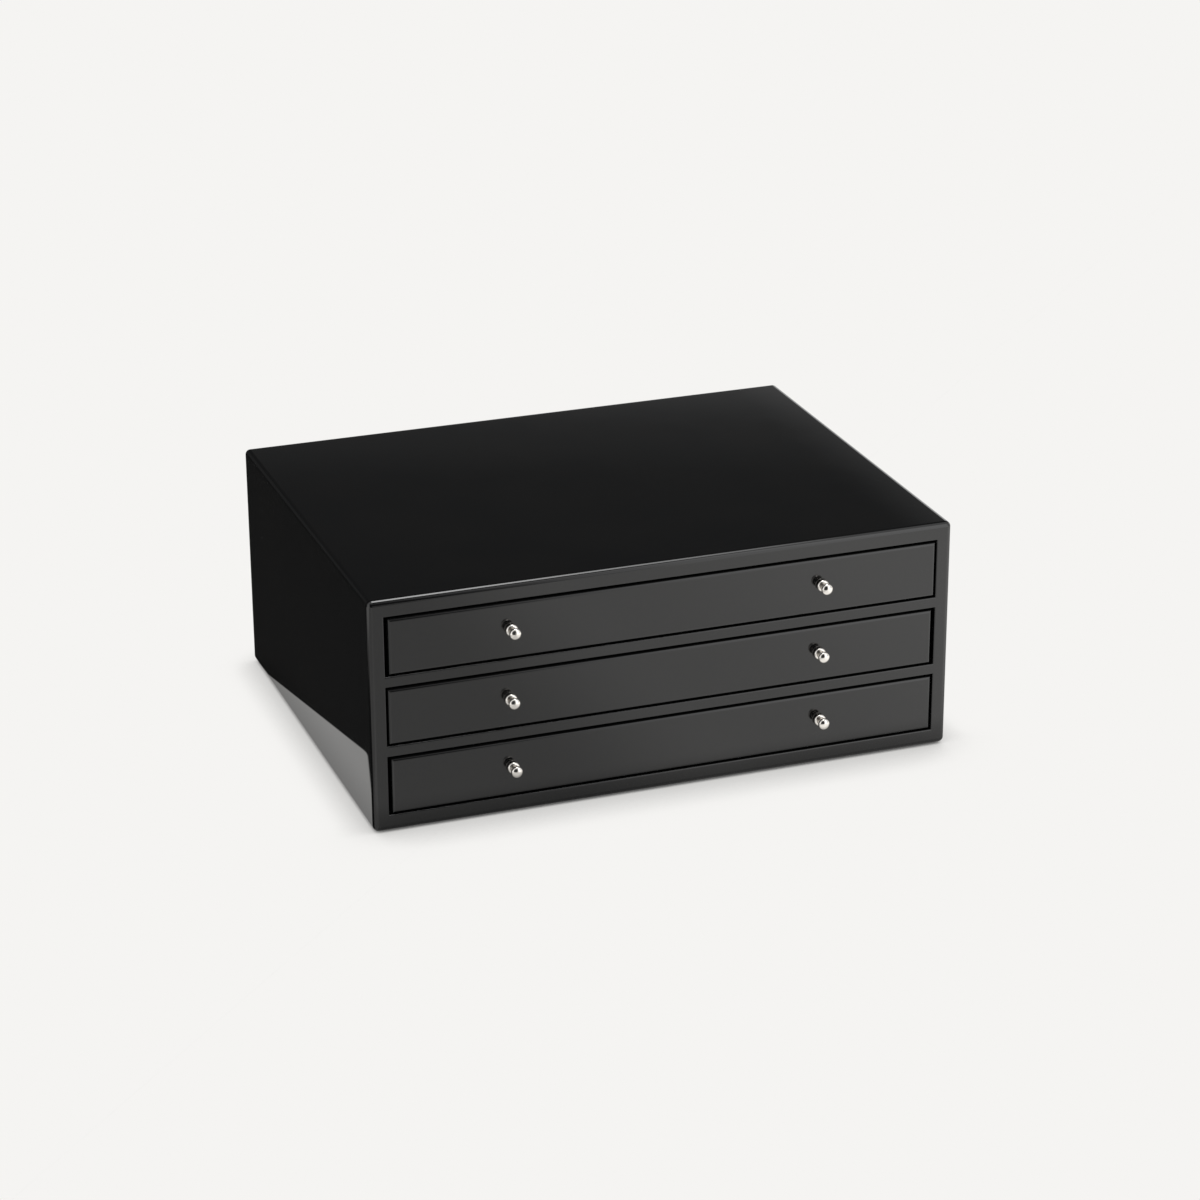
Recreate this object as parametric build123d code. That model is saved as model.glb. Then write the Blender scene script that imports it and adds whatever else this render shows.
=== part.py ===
from build123d import *
import os
from math import atan2, cos, sin, sqrt

# A tabletop chest with three wide, shallow drawers, finished in high-gloss lacquer.
# Each drawer front is inset in a plain frame and carries two small turned knobs.
# Frame: X to the right, Y to the back, Z up, in millimetres. The origin is the middle of
# the underside, on the surface that the chest stands on.

# Carcass
carcass_width = 380.0
carcass_depth = 288.0
top_thickness = 11.0
bottom_thickness = 10.5
side_thickness = 10.0
back_thickness = 8.0
shelf_thickness = 7.0
opening_height = 38.5
outer_edge_radius = 3.5
opening_edge_radius = 0.8
panel_lap = 5.0
back_lap = 5.0
shelf_housing_depth = 4.0
shelf_housing_stop = 8.0

# Felt under the chest, under the drawers and behind them
felt_thickness = 1.0
felt_inset = 5.0
felt_corner_radius = 6.0
glide_thickness = 0.5
glide_width = 9.0
glide_setback = 14.0
glide_edge_gap = 1.0
stop_pad_radius = 5.0
stop_pad_thickness = 2.5
stop_pad_inset = 60.0

# Drawers, from the top down: name, and how far each stands off the middle of its opening
drawer_set = (("top", 0.8), ("middle", -0.4), ("bottom", 0.5))
front_thickness = 12.0
front_side_gap = 1.5
front_top_gap = 1.4
front_edge_radius = 2.0
front_lip = 4.0
running_clearance = 0.3
drawer_side_thickness = 8.0
drawer_side_height = 32.0
drawer_back_thickness = 8.0
drawer_back_drop = 2.0
drawer_back_housing = 3.0
drawer_bottom_thickness = 3.0
drawer_bottom_raise = 3.0
groove_depth = 3.0
eased_edge_radius = 1.0

# Suede-covered lining of each drawer
base_pad_thickness = 1.8
base_pad_gap = 0.2
base_pad_edge_radius = 0.6
wall_lining_thickness = 1.2
wall_lining_drop = 2.0

# Knobs and the screws that hold them
knob_spacing = 203.0
knob_above_middle = 0.6
knob_collar_radius = 4.0
knob_collar_bead_radius = 1.6
knob_neck_radius = 2.0
knob_ball_radius = 3.75
knob_ball_half_length = 2.5
knob_ball_edge_radius = 1.8
knob_ball_middle = 8.0
knob_bore_depth = 5.2
thread_radius = 1.25
thread_clearance = 0.05
thread_engagement = 4.6
screw_hole_radius = 1.6
screw_head_radius = 2.4
screw_head_height = 1.7
screw_head_bevel = 0.7
screw_slot_width = 0.6
screw_slot_depth = 0.8
screw_recess_radius = 3.2
screw_recess_depth = 2.3

# Places worked out from the sizes
drawer_count = len(drawer_set)
inner_width = carcass_width - 2 * side_thickness
front_plane = -carcass_depth / 2
rear_plane = carcass_depth / 2
inner_rear = rear_plane - back_thickness
carcass_base = felt_thickness
inner_base = carcass_base + bottom_thickness
inner_height = drawer_count * opening_height + (drawer_count - 1) * shelf_thickness
inner_top = inner_base + inner_height
carcass_top_level = inner_top + top_thickness
opening_pitch = opening_height + shelf_thickness

drawer_width = inner_width - 2 * front_side_gap
front_height = opening_height - glide_thickness - running_clearance - front_top_gap
drawer_rear = inner_rear - stop_pad_thickness - running_clearance
drawer_inner_width = drawer_width - 2 * drawer_side_thickness
drawer_inner_front = front_plane + front_thickness
drawer_inner_rear = drawer_rear - drawer_back_thickness


def block(x0, x1, y0, y1, z0, z1):
    """A rectangular solid between two corners."""
    size = (x1 - x0, y1 - y0, z1 - z0)
    middle = ((x0 + x1) / 2, (y0 + y1) / 2, (z0 + z1) / 2)
    return Pos(*middle) * Box(*size)


def centred_block(width, y0, y1, z0, z1, middle=0.0):
    """A rectangular solid whose width is centred on middle."""
    return block(middle - width / 2, middle + width / 2, y0, y1, z0, z1)


def opening_floor(index):
    """Height of the bottom of an opening, counted from the top down."""
    return inner_top - opening_height - index * opening_pitch


def shelf_space(index):
    """The room of the shelf under an opening: full width in front, housed in the sides behind."""
    top = opening_floor(index)
    low = top - shelf_thickness
    housed_width = inner_width + 2 * shelf_housing_depth
    nose = centred_block(inner_width, front_plane, inner_rear, low, top)
    tongue = centred_block(housed_width, front_plane + shelf_housing_stop, inner_rear, low, top)
    return nose + tongue


def carcass_body():
    """The whole carcass as one rounded block with its drawer openings, before it is cut up."""
    body = centred_block(carcass_width, front_plane, rear_plane, carcass_base, carcass_top_level)
    body = fillet(body.edges(), outer_edge_radius)
    for index in range(drawer_count):
        floor = opening_floor(index)
        body -= centred_block(inner_width, front_plane, inner_rear, floor, floor + opening_height)
    front_face = body.faces().sort_by(Axis.Y)[0]
    mouth_edges = [edge for wire in front_face.inner_wires() for edge in wire.edges()]
    return body.fillet(opening_edge_radius, mouth_edges)


def carcass_panels():
    """The panels that the block is made of: sides let into the top and bottom, back in a rebate."""
    body = carcass_body()
    half = carcass_width / 2
    inner_half = inner_width / 2
    side_low = inner_base - panel_lap
    side_high = inner_top + panel_lap
    left_space = block(-half, -inner_half, front_plane, rear_plane, side_low, side_high)
    right_space = block(inner_half, half, front_plane, rear_plane, side_low, side_high)
    top_space = centred_block(carcass_width, front_plane, rear_plane, inner_top, carcass_top_level)
    bottom_space = centred_block(carcass_width, front_plane, rear_plane, carcass_base, inner_base)
    back_width = inner_width + 2 * back_lap
    back_space = centred_block(
        back_width, inner_rear, rear_plane, inner_base - back_lap, inner_top + back_lap
    )
    upper_space = shelf_space(0)
    lower_space = shelf_space(1)
    return {
        "carcass_top": (body & top_space) - left_space - right_space - back_space,
        "carcass_bottom": (body & bottom_space) - left_space - right_space - back_space,
        "carcass_left_side": (body & left_space) - back_space - upper_space - lower_space,
        "carcass_right_side": (body & right_space) - back_space - upper_space - lower_space,
        "carcass_back": body & back_space,
        "upper_shelf": body & upper_space,
        "lower_shelf": body & lower_space,
    }


def felt_base():
    """Felt sheet glued under the bottom, set in from its edges."""
    width = carcass_width - 2 * felt_inset
    depth = carcass_depth - 2 * felt_inset
    sheet = RectangleRounded(width, depth, felt_corner_radius)
    return extrude(sheet, amount=felt_thickness)


def glide_strips():
    """Felt strips on the floor of each opening, under the two sides of its drawer."""
    strips = []
    strip_middle = (inner_width - glide_width) / 2 - glide_edge_gap
    for index in range(drawer_count):
        floor = opening_floor(index)
        for side in (-1, 1):
            strips.append(
                centred_block(
                    glide_width,
                    front_plane + glide_setback,
                    inner_rear,
                    floor,
                    floor + glide_thickness,
                    side * strip_middle,
                )
            )
    return strips


def stop_pads():
    """Felt buttons on the back panel that stop each drawer flush with the frame."""
    pads = []
    for index in range(drawer_count):
        level = drawer_underside(index) + (drawer_side_height - drawer_back_drop) / 2
        for side in (-1, 1):
            place = Pos(side * (inner_width / 2 - stop_pad_inset), inner_rear, level)
            pads.append(place * Rot(X=90) * extrude(Circle(stop_pad_radius), stop_pad_thickness))
    return pads


def drawer_underside(index):
    """Height of the lower edge of a drawer."""
    return opening_floor(index) + glide_thickness + running_clearance


def knob_places(index, offset):
    """The two points on a drawer's face where its knobs stand."""
    level = drawer_underside(index) + front_height / 2 + knob_above_middle
    return [(offset + side * knob_spacing / 2, level) for side in (-1, 1)]


def eased(solid):
    """The solid with its two long upper edges rounded over."""
    edges = solid.edges().group_by(Axis.Z)[-1].sort_by(SortBy.LENGTH)
    return fillet(edges[-2:], eased_edge_radius)


def screw_bore(x, z):
    """The hole and the recess that a knob's screw needs in a drawer front."""
    hole = Pos(x, front_plane, z) * Rot(X=-90) * extrude(Circle(screw_hole_radius), front_thickness)
    recess = (
        Pos(x, drawer_inner_front, z) * Rot(X=90) * extrude(Circle(screw_recess_radius), screw_recess_depth)
    )
    return hole + recess


def drawer_box(index, offset):
    """Front, sides, back and bottom of one drawer, cut to fit each other."""
    low = drawer_underside(index)
    side_top = low + drawer_side_height
    back_top = side_top - drawer_back_drop
    panel_low = low + drawer_bottom_raise
    panel_top = panel_low + drawer_bottom_thickness

    bottom = centred_block(
        drawer_inner_width + 2 * groove_depth,
        drawer_inner_front - groove_depth,
        drawer_inner_rear + groove_depth,
        panel_low,
        panel_top,
        offset,
    )
    back_width = drawer_inner_width + 2 * drawer_back_housing
    back = centred_block(back_width, drawer_inner_rear, drawer_rear, low, back_top, offset)
    sides = {}
    for name, sign in (("left", -1), ("right", 1)):
        middle = offset + sign * (drawer_width - drawer_side_thickness) / 2
        sides[name] = centred_block(
            drawer_side_thickness, front_plane + front_lip, drawer_rear, low, side_top, middle
        )

    front = centred_block(
        drawer_width, front_plane, drawer_inner_front, low, low + front_height, offset
    )
    front = fillet(front.edges().group_by(Axis.Y)[0], front_edge_radius)
    front -= sides["left"] + sides["right"] + bottom
    for x, z in knob_places(index, offset):
        front -= screw_bore(x, z)

    return {
        "front": front,
        "left_side": eased(sides["left"]) - back - bottom,
        "right_side": eased(sides["right"]) - back - bottom,
        "back": eased(back) - bottom,
        "bottom": bottom,
    }


def drawer_lining(index, offset):
    """A pad on the drawer's bottom and four cards that stand round it."""
    floor = drawer_underside(index) + drawer_bottom_raise + drawer_bottom_thickness
    wall_top = drawer_underside(index) + drawer_side_height - drawer_back_drop - wall_lining_drop
    half = drawer_inner_width / 2
    card = wall_lining_thickness
    front, rear = drawer_inner_front, drawer_inner_rear
    cards = [
        centred_block(2 * half, front, front + card, floor, wall_top, offset),
        centred_block(2 * half, rear - card, rear, floor, wall_top, offset),
    ]
    for sign in (-1, 1):
        middle = offset + sign * (half - card / 2)
        cards.append(centred_block(card, front + card, rear - card, floor, wall_top, middle))
    margin = card + base_pad_gap
    pad_top = floor + base_pad_thickness
    pad = centred_block(2 * (half - margin), front + margin, rear - margin, floor, pad_top, offset)
    pad = fillet(pad.edges().group_by(Axis.Z)[-1], base_pad_edge_radius)
    return {"base_pad": pad, "wall_lining": Compound(children=cards)}


def turned_knob():
    """One turned knob along +Z: collar bead, neck and flattened ball, bored for its screw."""
    bore = thread_radius + thread_clearance
    collar_ring = knob_collar_radius - knob_collar_bead_radius
    collar_rise = sqrt(knob_collar_bead_radius**2 - (knob_neck_radius - collar_ring) ** 2)
    collar_end = knob_collar_bead_radius + collar_rise
    ball_ring = knob_ball_radius - knob_ball_edge_radius
    ball_start = knob_ball_middle - sqrt(knob_ball_edge_radius**2 - (knob_neck_radius - ball_ring) ** 2)
    tip = knob_ball_middle + knob_ball_half_length

    # The ball's front is a shallow dome that its round edge runs into smoothly
    dome_excess = ball_ring**2 + knob_ball_half_length**2 - knob_ball_edge_radius**2
    dome_radius = dome_excess / (2 * (knob_ball_half_length - knob_ball_edge_radius))
    dome_centre = tip - dome_radius
    dome_angle = atan2(ball_ring, knob_ball_middle - dome_centre)
    dome_rim, dome_halfway = [
        (dome_radius * sin(angle), dome_centre + dome_radius * cos(angle))
        for angle in (dome_angle, dome_angle / 2)
    ]

    outline = [
        Line((bore, 0), (collar_ring, 0)),
        ThreePointArc(
            (collar_ring, 0),
            (knob_collar_radius, knob_collar_bead_radius),
            (knob_neck_radius, collar_end),
        ),
        Line((knob_neck_radius, collar_end), (knob_neck_radius, ball_start)),
        ThreePointArc(
            (knob_neck_radius, ball_start), (knob_ball_radius, knob_ball_middle), dome_rim
        ),
        ThreePointArc(dome_rim, dome_halfway, (0, tip)),
        Line((0, tip), (0, knob_bore_depth)),
        Line((0, knob_bore_depth), (bore, knob_bore_depth)),
        Line((bore, knob_bore_depth), (bore, 0)),
    ]
    section = Plane.XZ * make_face(outline)
    return revolve(section, Axis.Z)


def knob_screw():
    """One machine screw along +Z, its head's underside at zero: bevelled slotted head and shank."""
    reach = front_thickness - screw_recess_depth + thread_engagement
    shank = extrude(Circle(thread_radius), reach)
    head = extrude(Circle(screw_head_radius), -screw_head_height)
    head = chamfer(head.edges().sort_by(Axis.Z)[0], screw_head_bevel)
    slot = block(
        -screw_head_radius,
        screw_head_radius,
        -screw_slot_width / 2,
        screw_slot_width / 2,
        -screw_head_height,
        screw_slot_depth - screw_head_height,
    )
    return shank + head - slot


def drawer_fittings(index, offset):
    """The two knobs of a drawer and the screws that hold them."""
    outward = Rot(X=90)
    left, right = [Pos(x, front_plane, z) * outward * turned_knob() for x, z in knob_places(index, offset)]
    head_seat = drawer_inner_front - screw_recess_depth
    screws = [Pos(x, head_seat, z) * outward * knob_screw() for x, z in knob_places(index, offset)]
    return {"left_knob": left, "right_knob": right, "knob_screws": Compound(children=screws)}


def whole_chest():
    """Every node of the chest by name."""
    nodes = carcass_panels()
    nodes["felt_base"] = felt_base()
    nodes["glide_strips"] = Compound(children=glide_strips())
    nodes["stop_pads"] = Compound(children=stop_pads())
    for index, (level, offset) in enumerate(drawer_set):
        pieces = drawer_box(index, offset) | drawer_lining(index, offset) | drawer_fittings(index, offset)
        for piece, solid in pieces.items():
            nodes[f"{level}_drawer_{piece}"] = solid
    return nodes


nodes = whole_chest()
os.makedirs("parts", exist_ok=True)
for name, solid in nodes.items():
    export_step(solid, f"parts/{name}.step")
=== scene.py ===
import math

import bmesh
import bpy
from mathutils import Matrix, Vector, noise


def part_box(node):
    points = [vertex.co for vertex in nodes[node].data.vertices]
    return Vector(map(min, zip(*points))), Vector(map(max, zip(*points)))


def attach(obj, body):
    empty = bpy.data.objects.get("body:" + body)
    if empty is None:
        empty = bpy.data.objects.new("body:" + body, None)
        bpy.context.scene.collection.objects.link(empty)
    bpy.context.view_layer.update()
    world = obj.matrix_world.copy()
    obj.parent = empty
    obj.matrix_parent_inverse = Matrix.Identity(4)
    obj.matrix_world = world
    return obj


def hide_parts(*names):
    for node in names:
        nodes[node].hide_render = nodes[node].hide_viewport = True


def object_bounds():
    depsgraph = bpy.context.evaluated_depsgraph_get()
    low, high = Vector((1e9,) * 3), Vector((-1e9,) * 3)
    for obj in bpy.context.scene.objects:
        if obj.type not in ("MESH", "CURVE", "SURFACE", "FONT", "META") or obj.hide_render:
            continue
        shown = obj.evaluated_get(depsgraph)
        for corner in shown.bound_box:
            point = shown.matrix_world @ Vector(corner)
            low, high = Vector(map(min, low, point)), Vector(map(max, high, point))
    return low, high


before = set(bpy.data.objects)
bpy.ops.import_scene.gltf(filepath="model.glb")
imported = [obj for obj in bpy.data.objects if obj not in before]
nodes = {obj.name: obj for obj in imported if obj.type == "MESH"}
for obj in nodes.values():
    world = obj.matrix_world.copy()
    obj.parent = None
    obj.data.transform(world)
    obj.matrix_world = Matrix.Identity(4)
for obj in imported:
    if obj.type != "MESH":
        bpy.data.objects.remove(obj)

# A black lacquered chest with three shallow drawers, on a pale floor in soft studio light.
# Metres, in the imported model's frame: X to the right, Y to the back, Z up.

cad_low, cad_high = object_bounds()
scene = bpy.context.scene
millimetre = 0.001
drawer_levels = ("top", "middle", "bottom")
left_face = cad_low.x
front_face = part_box("carcass_bottom")[0].y
back_face = cad_high.y

# Soft pieces: the roll of their edges, their corners, how far a pad's middle stands above its rim,
# the steps of their meshes and the ripples of their tops
felt_edge = 0.35 * millimetre
felt_corner = 6.0 * millimetre
strip_edge = 0.2 * millimetre
strip_corner = 1.5 * millimetre
button_edge = 0.7 * millimetre
pad_edge = 0.8 * millimetre
pad_corner = 1.5 * millimetre
pad_crown = 0.25 * millimetre
card_thickness = 1.2 * millimetre
card_edge = 0.45 * millimetre
card_corner = 0.6 * millimetre
soft_step = 7.0 * millimetre
roll_shares = (0.0, 0.06, 0.2, 0.42, 0.7, 1.0)
ripples_per_metre = 90.0
ripple_middle = 0.6

# How near two points of a node's mesh count as one, and the digits that its solids are sorted by
weld_distance = 0.001 * millimetre
sorting_digits = 5

# The photograph's camera, with its angles in degrees and its lens and sensor in millimetres
camera_place = (-0.7016, -1.9745, 0.9287)
camera_heading = 19.765
camera_down = 22.25
camera_roll = -0.307
camera_lens = 104.25
camera_sensor = 36.0
camera_reach = 200.0

# In the studio's values a pair is a range, from where something begins to change to where it has
# changed. Its name ends in what it is measured along. Out is the distance in front of the chest.

# The floor and the chest's shadow on it. Openness is 1 in the open and less beside the chest.
floor_half_size = 30.0
floor_colour = (0.9131, 0.9047, 0.8880, 1.0)
floor_reflectance = 0.8
fill_light = 0.35
shadow_samples = 8
shadow_reach_front = 48 * millimetre
shadow_reach_side = 30 * millimetre
shadow_reach_y = (front_face - 6 * millimetre, front_face + 24 * millimetre)
shadow_openness = (0.5, 0.93)
shadow_level = 0.69
contact_reach = 8 * millimetre
contact_openness = (0.05, 0.56)
contact_level = 0.12

# The floor's painted glow, which only gloss sees. Levels and gains are shares of the floor's colour:
# painted light makes it brighter in front and to the right, beside the left end and far to the left,
# and painted shade makes it darker close to the front.
left_level = 0.92
front_level = 1.41
front_x = (-0.07, 0.06)
right_gain = 0.42
right_x = (0.06, 0.32)
beside_gain = 0.32
beside_x = (-0.26, -0.23)
end_x = (left_face, left_face + 6 * millimetre)
far_left_gain = 0.9
far_left_x = (-0.54, -0.46)
far_left_y = (-0.05, 0.05)
near_level = 0.70
near_out = (12 * millimetre, 45 * millimetre)
foot_level = 0.6
foot_out = (0.0, 10 * millimetre)

# The lit wedge of floor along the left end, and the dark floor past it
wedge_back_tip = back_face - 15 * millimetre
wedge_back_slope = 0.187
wedge_front_place = front_face + 35.5 * millimetre
wedge_front_width = 9.6 * millimetre
wedge_front_slope = 0.248
wedge_peak_round = 4 * millimetre
wedge_edge_past = (-0.4 * millimetre, 0.6 * millimetre)
dark_front_y = (front_face - 2 * millimetre, front_face + 4 * millimetre)
dark_left_x = (-0.50, -0.36)
dark_back_y = (-0.05, 0.10)
dark_level = 0.036

# The dark camera stand and, right of it, the dark strip between two screens, which reach down to
# the floor. Angles are in degrees, and off is the angle from their own direction.
cover_depth = 0.96
stand_azimuth = -19.8
stand_elevation = 22.2
stand_room_off = (23.0, 36.0)
stand_floor_off = (20.0, 34.0)
stand_floor_out = (0.45, 0.80)
strip_azimuth = 15.5
strip_floor_off = (3.0, 5.0)
strip_floor_out = (0.85, 1.15)

# The room as gloss mirrors it: bright in front and overhead, and dark behind but for a lighter foot
# of the wall, a glow and a backdrop low at the right, and a leaning light band at the far right.
# The strip and a patch of ceiling are dark too. Right, back and rise are a direction's X, Y and Z.
room_bright = 1.05
room_back = (0.05, 0.40)
wall_low_level = 0.046
wall_high_level = 0.038
wall_rise = (0.345, 0.375)
wall_foot_gain = 0.03
wall_foot_rise = (0.333, 0.347)
glow_gain = 0.14
glow_rise = (0.314, 0.334)
glow_right = (0.05, 0.20)
backdrop_gain = 0.9
backdrop_rise = (0.27, 0.322)
backdrop_right = (0.25, 0.30)
band_gain = 0.10
band_lean = 1.12
band_right = (-0.007, 0.016)
strip_begin_right = (0.20, 0.235)
strip_end_right = (0.285, 0.32)
strip_end_rise = (0.80, 0.87)
strip_end_back = (0.1, 0.3)
ceiling_begin_right = (0.08, 0.18)
ceiling_end_right = (0.30, 0.37)
ceiling_begin_rise = (0.28, 0.50)
ceiling_end_back = (-0.2, 0.0)

# The range that most of a fractal noise lies in
noise_middle = (0.3, 0.7)


class Shader:
    """Nodes of a material or world under construction: short calls add a node and link its inputs."""

    def __init__(self, owner, output="ShaderNodeOutputMaterial"):
        self.owner = owner
        owner.use_nodes = True
        self.tree = owner.node_tree
        self.tree.nodes.clear()
        self.output = self.tree.nodes.new(output)

    def feed(self, socket, value):
        """An input's value, which is linked where it is another node's output."""
        if isinstance(value, bpy.types.NodeSocket):
            self.tree.links.new(value, socket)
        else:
            socket.default_value = value

    def add(self, kind, settings=None, **inputs):
        """A new node with its settings and named inputs."""
        node = self.tree.nodes.new("ShaderNode" + kind)
        for key, value in (settings or {}).items():
            setattr(node, key, value)
        for key, value in inputs.items():
            self.feed(node.inputs[key.replace("_", " ")], value)
        return node

    def result(self, kind, settings, *values):
        """The first output of a new node whose inputs are given in their order."""
        node = self.add(kind, settings)
        for socket, value in zip(node.inputs, values):
            self.feed(socket, value)
        return node.outputs[0]

    def math(self, operation, *values):
        return self.result("Math", {"operation": operation}, *values)

    def chain(self, operation, values):
        """One operation over a row of numbers, from the first to the last."""
        result, *others = values
        for value in others:
            result = self.math(operation, result, value)
        return result

    def product(self, *factors):
        return self.chain("MULTIPLY", factors)

    def total(self, *terms):
        return self.chain("ADD", terms)

    def most(self, *values):
        return self.chain("MAXIMUM", values)

    def darkened(self, level, share, depth):
        """A level that loses a depth of itself where the share is 1."""
        return self.product(level, self.math("MULTIPLY_ADD", share, -depth, 1.0))

    def ramp(self, value, low, high, to_low=0.0, to_high=1.0, kind="SMOOTHSTEP"):
        """A number taken from one range to another and held past its ends."""
        settings = {"interpolation_type": kind}
        return self.result("MapRange", settings, value, low, high, to_low, to_high)

    def fade(self, value, low, high, kind="SMOOTHSTEP"):
        """1 before the range and 0 past it."""
        return self.ramp(value, low, high, 1.0, 0.0, kind)

    def band(self, value, begin, end):
        """1 between two ranges and 0 outside them."""
        return self.product(self.ramp(value, *begin), self.fade(value, *end))

    def place(self):
        """The point's coordinates on the piece, which don't change as it slides."""
        return self.add("TexCoord").outputs["Object"]

    def noise(self, scale, detail, vector=None, roughness=0.5):
        """Fractal noise in the model's own coordinates, in features per metre."""
        node = self.add("TexNoise", Scale=scale, Detail=detail, Roughness=roughness)
        self.feed(node.inputs["Vector"], vector or self.place())
        return node.outputs["Fac"]

    def spread(self, noise_value, low, high):
        """Fractal noise taken to a range."""
        return self.ramp(noise_value, *noise_middle, low, high)

    def bump(self, height, distance):
        return self.add("Bump", Strength=1.0, Distance=distance, Height=height).outputs["Normal"]

    def mix_colour(self, share, first, second):
        node = self.tree.nodes.new("ShaderNodeMix")
        node.data_type = "RGBA"
        for name, value in (("Factor", share), ("A", first), ("B", second)):
            sockets = [socket for socket in node.inputs if socket.name == name and socket.enabled]
            self.feed(sockets[0], value)
        return [socket for socket in node.outputs if socket.enabled][0]

    def light(self, kind, colour, strength):
        return self.add(kind, Color=colour, Strength=strength).outputs[0]

    def mix(self, share, first, second):
        """Two surfaces by share."""
        return self.result("MixShader", None, share, first, second)

    def by_ray(self, seen, mirrored, other):
        """One surface to the camera, one to gloss and one to all other light."""
        path = self.add("LightPath")
        unseen = self.mix(path.outputs["Is Glossy Ray"], other, mirrored)
        return self.mix(path.outputs["Is Camera Ray"], unseen, seen)

    def finish(self, surface):
        self.tree.links.new(surface, self.output.inputs["Surface"])
        return self.owner

    def principled(self, **inputs):
        return self.finish(self.add("BsdfPrincipled", **inputs).outputs[0])


def grey(level):
    return (level, level, level, 1.0)


def turned(degrees, axis):
    return Matrix.Rotation(math.radians(degrees), 4, axis)


def standing_at(x, y, z):
    return Matrix.Translation((x, y, z))


def make_camera():
    """The photograph's viewpoint: in front, left of the middle, looking down."""
    data = bpy.data.cameras.new("photo_camera")
    data.lens = camera_lens
    data.sensor_width = camera_sensor
    data.clip_end = camera_reach
    camera = bpy.data.objects.new("photo_camera", data)
    scene.collection.objects.link(camera)
    aim = turned(-camera_heading, "Z") @ turned(90 - camera_down, "X") @ turned(camera_roll, "Z")
    camera.matrix_world = standing_at(*camera_place) @ aim
    scene.camera = camera


def mesh_object(name, mesh, material):
    piece = bpy.data.objects.new(name, mesh)
    scene.collection.objects.link(piece)
    mesh.materials.append(material)
    return piece


def quad(name, corners, material):
    """A flat four-cornered sheet."""
    mesh = bpy.data.meshes.new(name)
    mesh.from_pydata(corners, [], [(0, 1, 2, 3)])
    return mesh_object(name, mesh, material)


def openness(shader, reach):
    """How open the floor is within a reach."""
    return shader.add("AmbientOcclusion", {"samples": shadow_samples}, Distance=reach).outputs["AO"]


def floor_shade(shader, y):
    """The chest's soft shadow, which reaches farther in front, and the dark line at its foot."""
    reach = shader.ramp(y, *shadow_reach_y, shadow_reach_front, shadow_reach_side)
    return shader.product(
        shader.ramp(openness(shader, reach), *shadow_openness, shadow_level, 1.0),
        shader.ramp(openness(shader, contact_reach), *contact_openness, contact_level, 1.0),
    )


def past_wedge(shader, x, y):
    """1 on the dark floor at the left, and 0 on the lit wedge between it and the chest.

    The wedge widens from a tip at the chest's back and from a narrow end at its front.
    """
    to_tip = shader.math("SUBTRACT", wedge_back_tip, y)
    back_width = shader.math("MULTIPLY", to_tip, wedge_back_slope)
    from_front = shader.math("SUBTRACT", y, wedge_front_place)
    front_width = shader.math("MULTIPLY_ADD", from_front, wedge_front_slope, wedge_front_width)
    width = shader.math("SMOOTH_MIN", back_width, front_width, wedge_peak_round)
    past = shader.math("SUBTRACT", shader.math("SUBTRACT", left_face, x), width)
    near = shader.most(shader.ramp(x, *dark_left_x), shader.ramp(y, *dark_back_y))
    return shader.product(shader.ramp(past, *wedge_edge_past), shader.ramp(y, *dark_front_y), near)


def floor_sector(shader, x, out, middle, off_range, out_range):
    """A sector of floor as seen from the chest's front, round an azimuth and past a distance."""
    azimuth = shader.math("ARCTAN2", x, out)
    off = shader.math("ABSOLUTE", shader.math("SUBTRACT", azimuth, math.radians(middle)))
    width = shader.fade(off, *map(math.radians, off_range))
    return shader.product(width, shader.ramp(out, *out_range))


def painted_floor_glow(shader, x, y):
    """Strength of the floor's painted glow to gloss: painted light to the right, dark past the wedge at the
    left.
    """
    level = shader.total(
        shader.ramp(x, *front_x, left_level, front_level),
        shader.ramp(x, *right_x, 0.0, right_gain),
        shader.product(shader.band(x, beside_x, end_x), beside_gain),
        shader.product(shader.fade(x, *far_left_x), shader.fade(y, *far_left_y), far_left_gain),
    )
    dark = past_wedge(shader, x, y)
    level = shader.total(shader.darkened(level, dark, 1.0), shader.product(dark, dark_level))

    out = shader.math("SUBTRACT", front_face, y)
    covered = shader.most(
        floor_sector(shader, x, out, stand_azimuth, stand_floor_off, stand_floor_out),
        floor_sector(shader, x, out, strip_azimuth, strip_floor_off, strip_floor_out),
    )
    # Painted shade darkens the glow close to the front and at the chest's foot; the stand and strip cover
    # it
    return shader.product(
        shader.darkened(level, covered, cover_depth),
        shader.ramp(out, *near_out, near_level, 1.0),
        shader.most(shader.ramp(out, *foot_out, foot_level, 1.0), shader.fade(x, *end_x)),
    )


def floor_material():
    """Pale and shaded to the camera, a painted glow of light and shade to gloss, a plain reflector to other
    light.
    """
    shader = Shader(bpy.data.materials.new("studio_floor"))
    spot = shader.add("SeparateXYZ", Vector=shader.add("NewGeometry").outputs["Position"])
    x, y = spot.outputs["X"], spot.outputs["Y"]
    shade = floor_shade(shader, y)
    level = shader.product(painted_floor_glow(shader, x, y), shade)
    seen = shader.light("Emission", floor_colour, shade)
    # To gloss the floor glows with its painted light and shade
    mirrored = shader.light("Emission", floor_colour, level)
    plain = shader.add("BsdfDiffuse", Color=grey(floor_reflectance)).outputs[0]
    return shader.finish(shader.by_ray(seen, mirrored, plain))


def make_floor():
    half = floor_half_size
    corners = [(-half, -half, 0), (half, -half, 0), (half, half, 0), (-half, half, 0)]
    quad("floor", corners, floor_material())


def heading(azimuth, elevation):
    """A direction, in degrees to the right of straight out of the front and above the floor."""
    turn, climb = math.radians(azimuth), math.radians(elevation)
    return (math.sin(turn) * math.cos(climb), -math.cos(turn) * math.cos(climb), math.sin(climb))


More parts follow.
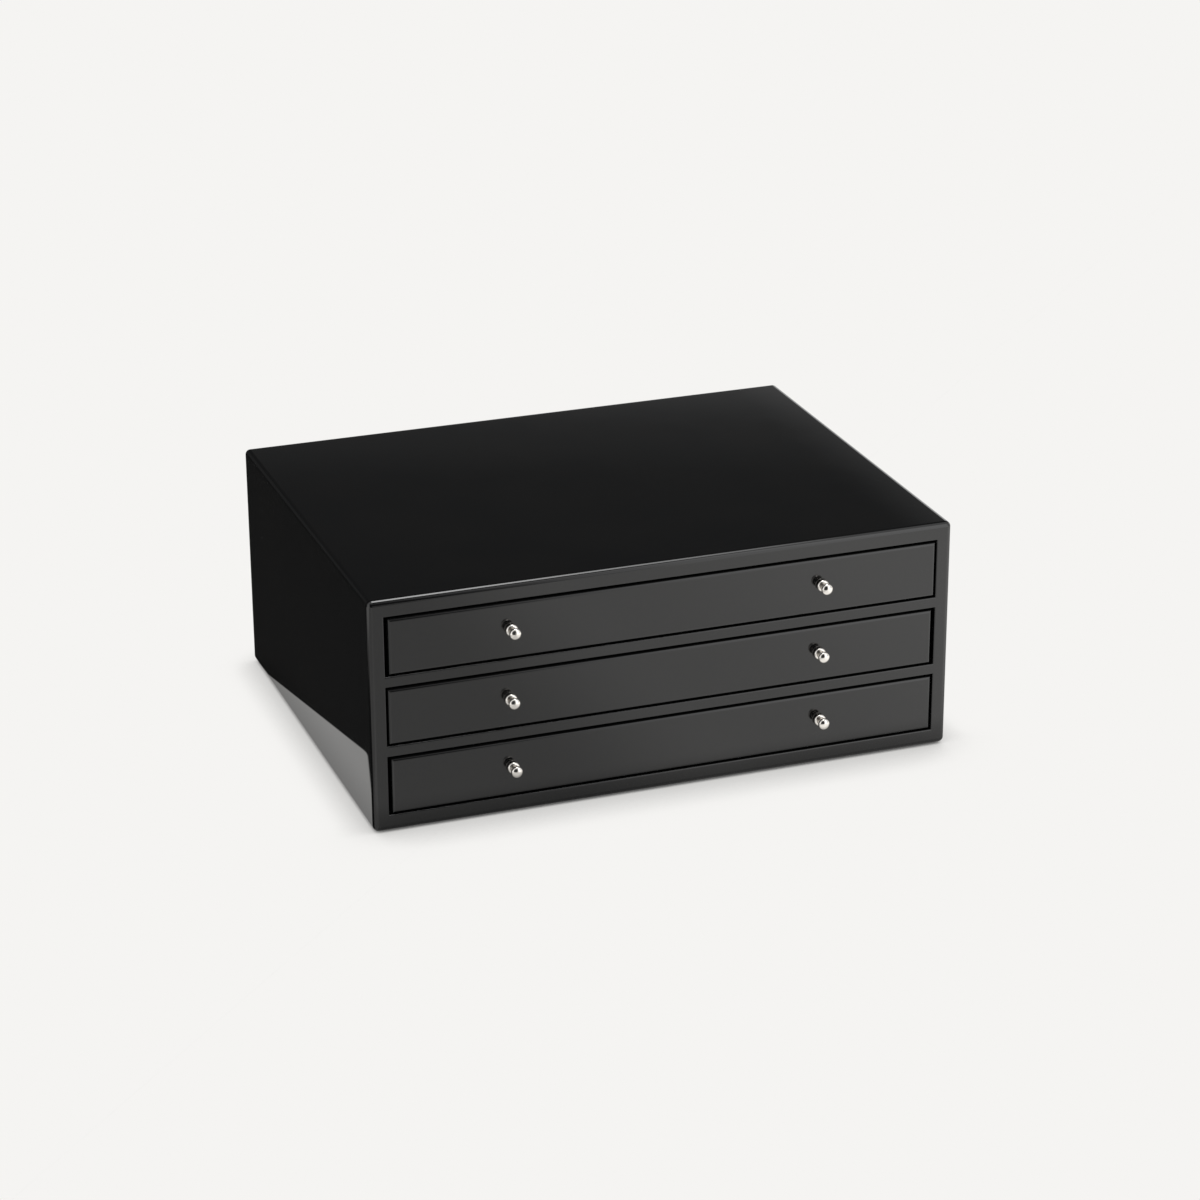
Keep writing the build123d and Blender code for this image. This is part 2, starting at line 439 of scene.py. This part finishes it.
def room_light(shader):
    """How bright gloss mirrors the room: bright in front and overhead, and dark behind the chest."""
    way = shader.add("TexCoord").outputs["Generated"]
    parts = shader.add("SeparateXYZ", Vector=way).outputs
    right, back, rise = parts["X"], parts["Y"], parts["Z"]

    def low_light(rise_range, right_range, gain):
        """Light low behind the chest, towards the right."""
        return shader.product(shader.fade(rise, *rise_range), shader.ramp(right, *right_range), gain)

    leaning_right = shader.math("MULTIPLY_ADD", rise, -band_lean, right)
    behind = shader.total(
        shader.ramp(rise, *wall_rise, wall_low_level, wall_high_level, "LINEAR"),
        shader.product(shader.fade(rise, *wall_foot_rise), wall_foot_gain),
        low_light(glow_rise, glow_right, glow_gain),
        low_light(backdrop_rise, backdrop_right, backdrop_gain),
        shader.product(shader.ramp(leaning_right, *band_right), band_gain),
    )
    level = shader.ramp(back, *room_back, room_bright, behind)

    # The camera stand, the strip between the screens and the patch of ceiling
    nearness = shader.add("VectorMath", {"operation": "DOT_PRODUCT"})
    shader.feed(nearness.inputs[0], way)
    shader.feed(nearness.inputs[1], heading(stand_azimuth, stand_elevation))
    inner, outer = (math.cos(math.radians(angle)) for angle in stand_room_off)
    covered = shader.most(
        shader.ramp(nearness.outputs["Value"], outer, inner),
        shader.product(
            shader.band(right, strip_begin_right, strip_end_right),
            shader.fade(rise, *strip_end_rise),
            shader.fade(back, *strip_end_back),
        ),
        shader.product(
            shader.band(right, ceiling_begin_right, ceiling_end_right),
            shader.ramp(rise, *ceiling_begin_rise),
            shader.fade(back, *ceiling_end_back),
        ),
    )
    return shader.darkened(level, covered, cover_depth)


def make_world():
    """The floor's colour to the camera, the photographer's room to gloss, soft fill to the rest."""
    scene.world = bpy.data.worlds.new("studio")
    shader = Shader(scene.world, "ShaderNodeOutputWorld")
    seen = shader.light("Background", floor_colour, 1.0)
    room = shader.light("Background", grey(1.0), room_light(shader))
    fill = shader.light("Background", grey(1.0), fill_light)
    shader.finish(shader.by_ray(seen, room, fill))


def softbox(name, centre, across, up, strength, fade_across, fade_up):
    """A glowing panel. The fades are the shares of its width and height over which each edge clears."""
    shader = Shader(bpy.data.materials.new(name))
    share = shader.math("SUBTRACT", 1.0, shader.add("NewGeometry").outputs["Backfacing"])
    spot = shader.add("SeparateXYZ", Vector=shader.add("TexCoord").outputs["Generated"])
    for side, (low, high) in (("X", fade_across), ("Y", fade_up)):
        if low:
            share = shader.product(share, shader.ramp(spot.outputs[side], 0.0, low, kind="LINEAR"))
        if high:
            share = shader.product(share, shader.fade(spot.outputs[side], 1.0 - high, 1.0, "LINEAR"))
    clear = shader.add("BsdfTransparent").outputs[0]
    glow = shader.light("Emission", grey(1.0), strength)
    material = shader.finish(shader.mix(share, clear, glow))

    centre, across, up = Vector(centre), Vector(across), Vector(up)
    width, height = across.length, up.length
    panel = quad(name, [(0, 0, 0), (width, 0, 0), (width, height, 0), (0, height, 0)], material)
    x_axis, y_axis = across.normalized(), up.normalized()
    turn = Matrix((x_axis, y_axis, x_axis.cross(y_axis))).transposed().to_4x4()
    panel.matrix_world = Matrix.Translation(centre - across / 2 - up / 2) @ turn
    panel.visible_camera = False
    panel.visible_shadow = False


def make_lights():
    """A softbox overhead, a large one at the front right, and a weak one on the left."""
    softbox(
        "overhead_softbox",
        centre=(0.23, -0.095, 1.2),
        across=(0.0, 0.69, 0.0),
        up=(0.66, 0.0, 0.0),
        strength=8.5,
        fade_across=(0.1, 0.1),
        fade_up=(0.15, 0.62),
    )
    softbox(
        "front_right_softbox",
        centre=(0.85, -1.35, 1.1),
        across=(-1.2, -0.4, 0.0),
        up=(0.0, 0.0, 2.2),
        strength=2.25,
        fade_across=(0.1, 0.42),
        fade_up=(0.0, 0.1),
    )
    softbox(
        "left_softbox",
        centre=(-1.3, -0.75, 0.55),
        across=(0.0, 1.4, 0.0),
        up=(0.0, 0.0, 1.1),
        strength=1.4,
        fade_across=(0.2, 0.2),
        fade_up=(0.0, 0.2),
    )


def lacquer(name):
    """Black high-gloss lacquer, with the faint waviness of a sprayed and polished coat."""
    shader = Shader(bpy.data.materials.new(name))
    drift = shader.spread(shader.noise(scale=14.0, detail=3.0), 0.0, 1.0)
    peel = shader.noise(scale=260.0, detail=2.0)
    return shader.principled(
        Base_Color=shader.mix_colour(drift, (0.0042, 0.0044, 0.0046, 1.0), grey(0.0052)),
        Roughness=shader.spread(shader.noise(scale=45.0, detail=4.0), 0.022, 0.036),
        IOR=1.5,
        Normal=shader.bump(peel, distance=0.0012 * millimetre),
    )


def satin_black(name):
    """The sprayed satin black of the drawers' boxes."""
    shader = Shader(bpy.data.materials.new(name))
    speck = shader.noise(scale=900.0, detail=2.0)
    drift = shader.noise(scale=60.0, detail=4.0)
    return shader.principled(
        Base_Color=shader.mix_colour(drift, grey(0.011), grey(0.016)),
        Roughness=shader.spread(speck, 0.30, 0.42),
        Normal=shader.bump(speck, distance=0.008 * millimetre),
    )


def suede(name):
    """Charcoal suede: a short nap, brushed lighter and darker in soft strokes."""
    shader = Shader(bpy.data.materials.new(name))
    nap = shader.noise(scale=1500.0, detail=4.0, roughness=0.7)
    strokes_per_metre = (9.0, 22.0, 22.0)
    strokes_turn = (0.0, 0.0, 0.5)
    stretched = shader.add("Mapping", Vector=shader.place(), Scale=strokes_per_metre, Rotation=strokes_turn)
    brushed = shader.noise(scale=1.0, detail=4.0, vector=stretched.outputs["Vector"], roughness=0.6)
    nap_share, brushed_share = 0.75, 0.5
    lightness = shader.total(shader.product(nap, nap_share), shader.product(brushed, brushed_share))
    dark, light = (0.020, 0.019, 0.019, 1.0), (0.072, 0.069, 0.067, 1.0)
    return shader.principled(
        Base_Color=shader.mix_colour(shader.ramp(lightness, low=0.42, high=0.82), dark, light),
        Roughness=0.95,
        Normal=shader.bump(nap, distance=0.15 * millimetre),
        Sheen_Weight=0.2,
        Sheen_Roughness=0.4,
    )


def felt(name):
    """Pressed black felt with short loose fibres."""
    shader = Shader(bpy.data.materials.new(name))
    fibre = shader.noise(scale=1800.0, detail=4.0)
    return shader.principled(
        Base_Color=shader.mix_colour(fibre, grey(0.008), grey(0.024)),
        Roughness=0.95,
        Normal=shader.bump(fibre, distance=0.12 * millimetre),
        Sheen_Weight=0.3,
        Sheen_Roughness=0.5,
    )


def nickel(name):
    """Polished nickel, its gloss faintly uneven from handling."""
    shader = Shader(bpy.data.materials.new(name))
    return shader.principled(
        Base_Color=(0.63, 0.605, 0.57, 1.0),
        Metallic=1.0,
        Roughness=shader.spread(shader.noise(scale=700.0, detail=3.0), 0.03, 0.06),
        Normal=shader.bump(shader.noise(scale=3000.0, detail=2.0), distance=0.001 * millimetre),
    )


def screw_steel(name):
    """Bright zinc-plated steel of the screws."""
    shader = Shader(bpy.data.materials.new(name))
    return shader.principled(
        Base_Color=(0.55, 0.55, 0.53, 1.0),
        Metallic=1.0,
        Roughness=shader.spread(shader.noise(scale=1500.0, detail=3.0), 0.22, 0.4),
    )


def dress_nodes():
    """Each rigid node's material, by the record's slot that the node came with."""
    finishes = {
        "carcass_lacquer": lacquer("carcass_lacquer_finish"),
        "drawer_lacquer": lacquer("drawer_lacquer_finish"),
        "drawer_box_satin": satin_black("drawer_box_finish"),
        "suede_lining": suede("suede_lining_finish"),
        "black_felt": felt("black_felt_finish"),
        "polished_nickel": nickel("polished_nickel_finish"),
        "screw_steel": screw_steel("screw_steel_finish"),
    }
    for node in nodes.values():
        slot = node.data.materials[0].name
        node.data.materials[0] = finishes[slot]
    return finishes


def stations(length, edge):
    """Places across a slab, close together where its edges roll and wider apart between."""
    half = length / 2
    count = max(1, math.ceil((half - edge) / soft_step))
    insets = [edge * share for share in roll_shares]
    insets += [edge + (half - edge) * step / count for step in range(1, count + 1)]
    return [inset - half for inset in insets] + [half - inset for inset in reversed(insets[:-1])]


def rounded_place(x, y, half_width, half_depth, corner):
    """A point of a rectangle, moved so that the rectangle's corners are round, and its inset."""
    across, along = abs(x) - half_width + corner, abs(y) - half_depth + corner
    if across > 0 and along > 0:
        pull = max(across, along) / math.hypot(across, along)
        across, along = across * pull, along * pull
        x = math.copysign(half_width - corner + across, x)
        y = math.copysign(half_depth - corner + along, y)
        return x, y, corner - math.hypot(across, along)
    return x, y, min(half_width - abs(x), half_depth - abs(y))


def add_slab(shape, turn, size, edge, corner, crown=0.0, under=0.0, wave=0.0):
    """A soft slab: rolled upper edges, round corners, a crowned and faintly uneven top."""
    width, depth, thickness = size
    half_width, half_depth = width / 2, depth / 2
    columns, rows = stations(width, edge), stations(depth, edge)
    top, base = [], []
    for y in rows:
        for x in columns:
            px, py, inset = rounded_place(x, y, half_width, half_depth, corner)
            roll = 1 - math.sqrt(max(0.0, 1 - (1 - min(inset / edge, 1.0)) ** 2))
            swell = (1 - (px / half_width) ** 2) * (1 - (py / half_depth) ** 2)
            place = turn @ Vector((px, py, 0.0))
            ripple = noise.noise(place * ripples_per_metre) - ripple_middle
            height = thickness - edge * roll - crown * (1 - swell) + wave * ripple * (1 - roll)
            top.append(shape.verts.new(turn @ Vector((px, py, height))))
            base.append(shape.verts.new(turn @ Vector((px, py, under * roll))))
    across = len(columns)

    def at(sheet, row, column):
        return sheet[row * across + column]

    for row in range(len(rows) - 1):
        for column in range(across - 1):
            corners = [(row, column), (row, column + 1), (row + 1, column + 1), (row + 1, column)]
            shape.faces.new([at(top, *place) for place in corners])
            shape.faces.new([at(base, *place) for place in reversed(corners)])
    last_row, last_column = len(rows) - 1, across - 1
    rim = [(0, column) for column in range(across)]
    rim += [(row, last_column) for row in range(1, len(rows))]
    rim += [(last_row, column) for column in range(last_column - 1, -1, -1)]
    rim += [(row, 0) for row in range(last_row - 1, 0, -1)]
    for here, following in zip(rim, rim[1:] + rim[:1]):
        corners = [at(base, *here), at(base, *following), at(top, *following), at(top, *here)]
        shape.faces.new(corners)


def add_lying_slab(shape, low, high, edge, corner, **details):
    """A soft slab that fills a box and lies on the box's bottom."""
    middle = (low + high) / 2
    turn = standing_at(middle.x, middle.y, low.z)
    add_slab(shape, turn, high - low, edge, corner, **details)


def soft_piece(name, shape, material, node_name, body):
    """The finished mesh in place of its plain solid, riding on that solid's body."""
    bmesh.ops.recalc_face_normals(shape, faces=shape.faces)
    for face in shape.faces:
        face.smooth = True
    mesh = bpy.data.meshes.new(name)
    shape.to_mesh(mesh)
    shape.free()
    piece = mesh_object(name, mesh, material)
    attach(piece, body)
    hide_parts(node_name)
    return piece


def make_felt_base(material):
    """The felt sheet that is glued under the chest."""
    low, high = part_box("felt_base")
    shape = bmesh.new()
    add_lying_slab(shape, low, high, felt_edge, felt_corner, under=felt_edge)
    piece = soft_piece("felt_sheet", shape, material, "felt_base", "carcass")


def islands(node_name):
    """The boxes of a node's separate solids."""
    mesh = nodes[node_name].data
    shape = bmesh.new()
    shape.from_mesh(mesh)
    bmesh.ops.remove_doubles(shape, verts=shape.verts, dist=weld_distance)
    left = set(shape.verts)
    boxes = []
    while left:
        group, front = [], [left.pop()]
        while front:
            vertex = front.pop()
            group.append(vertex.co.copy())
            for link in vertex.link_edges:
                other = link.other_vert(vertex)
                if other in left:
                    left.remove(other)
                    front.append(other)
        low = Vector(min(place[i] for place in group) for i in range(3))
        high = Vector(max(place[i] for place in group) for i in range(3))
        boxes.append((low, high))
    shape.free()
    return sorted(boxes, key=lambda box: tuple(round(value, sorting_digits) for value in box[0]))


def make_glide_felts(material):
    """The thin felt strips that the drawers' sides slide on."""
    shape = bmesh.new()
    for low, high in islands("glide_strips"):
        add_lying_slab(shape, low, high, strip_edge, strip_corner)
    soft_piece("glide_felts", shape, material, "glide_strips", "carcass")


def make_stop_felts(material):
    """Round felt buttons on the back panel, one behind each end of each drawer."""
    shape = bmesh.new()
    for low, high in islands("stop_pads"):
        middle, size = (low + high) / 2, high - low
        turn = standing_at(middle.x, high.y, middle.z) @ turned(90, "X")
        add_slab(shape, turn, (size.x, size.z, size.y), button_edge, size.x / 2)
    soft_piece("stop_felts", shape, material, "stop_pads", "carcass")


def make_drawer_pad(level, material):
    """The suede-covered pad on a drawer's bottom, a little fuller in its middle."""
    node_name = f"{level}_drawer_base_pad"
    low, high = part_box(node_name)
    shape = bmesh.new()
    add_lying_slab(shape, low, high, pad_edge, pad_corner, crown=pad_crown, wave=pad_crown / 2)
    name = f"{level}_drawer_suede_pad"
    soft_piece(name, shape, material, node_name, f"{level}_drawer")


def make_wall_cards(level, material):
    """Four suede-covered cards round the inside of a drawer, their suede turned over the edges."""
    node_name = f"{level}_drawer_wall_lining"
    low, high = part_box(node_name)
    middle, size = (low + high) / 2, high - low
    long_card = (size.x, size.z, card_thickness)
    short_card = (size.y - 2 * card_thickness, size.z, card_thickness)
    shape = bmesh.new()
    for x, y, degrees, card in (
        (middle.x, high.y, 0, long_card),
        (low.x, middle.y, 90, short_card),
        (middle.x, low.y, 180, long_card),
        (high.x, middle.y, 270, short_card),
    ):
        turn = standing_at(x, y, middle.z) @ turned(degrees, "Z") @ turned(90, "X")
        add_slab(shape, turn, card, card_edge, card_corner, wave=card_edge / 4)
    name = f"{level}_drawer_suede_cards"
    soft_piece(name, shape, material, node_name, f"{level}_drawer")


make_camera()
make_world()
make_floor()
make_lights()
finishes = dress_nodes()
make_felt_base(finishes["black_felt"])
make_glide_felts(finishes["black_felt"])
make_stop_felts(finishes["black_felt"])
for level in drawer_levels:
    make_drawer_pad(level, finishes["suede_lining"])
    make_wall_cards(level, finishes["suede_lining"])

scene.view_settings.view_transform = "Standard"
